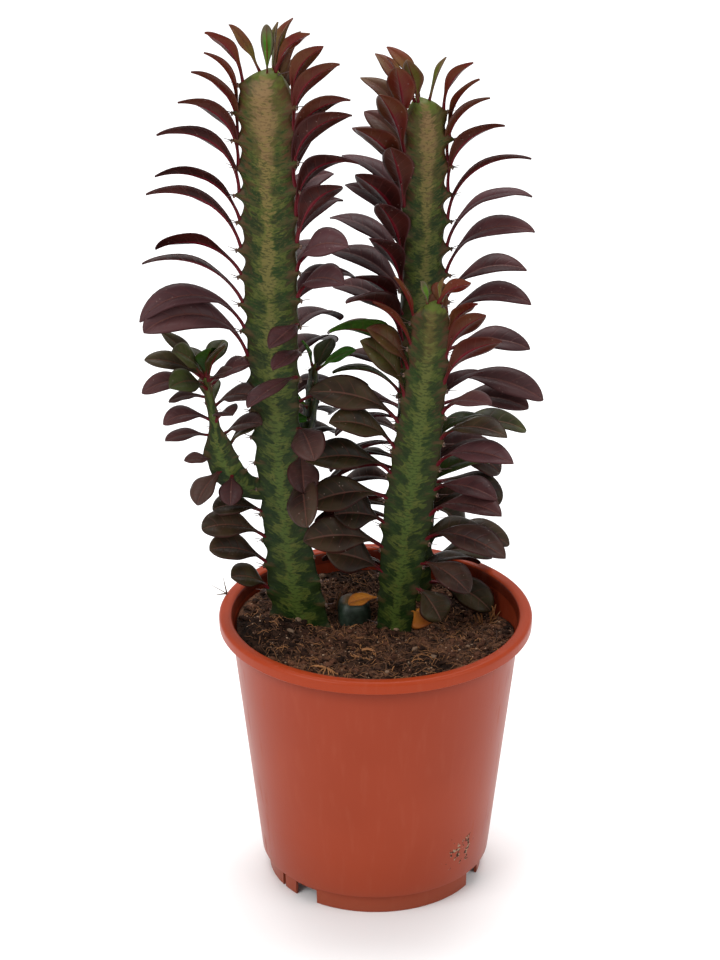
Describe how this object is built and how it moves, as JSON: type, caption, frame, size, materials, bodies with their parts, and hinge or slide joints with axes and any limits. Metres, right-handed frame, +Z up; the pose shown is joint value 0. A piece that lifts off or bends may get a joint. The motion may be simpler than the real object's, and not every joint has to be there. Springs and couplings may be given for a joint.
{
  "type": "potted euphorbia",
  "caption": "Three rooted euphorbia cuttings with toothed, leafy, spiny ribs in a round tapered nursery pot of soil.",
  "frame": {"origin": "middle of the pot's foot, on the surface it stands on", "axes": "+Z up, -Y towards the side the plant is seen from, +X to the right of that view"},
  "size_m": [0.2153, 0.1807, 0.4811],
  "materials": {
    "pot_plastic": "satin terracotta-coloured plastic",
    "potting_soil": "dry peat and coir fibre",
    "plant_skin": "waxy living skin and leaves",
    "old_skin": "waxy dark skin"
  },
  "bodies": {
    "root": {"pot": "pot_plastic", "soil": "potting_soil", "stem_left": "plant_skin", "stem_right": "plant_skin", "stem_front": "plant_skin", "stub": "old_skin"}
  },
  "joints": []
}
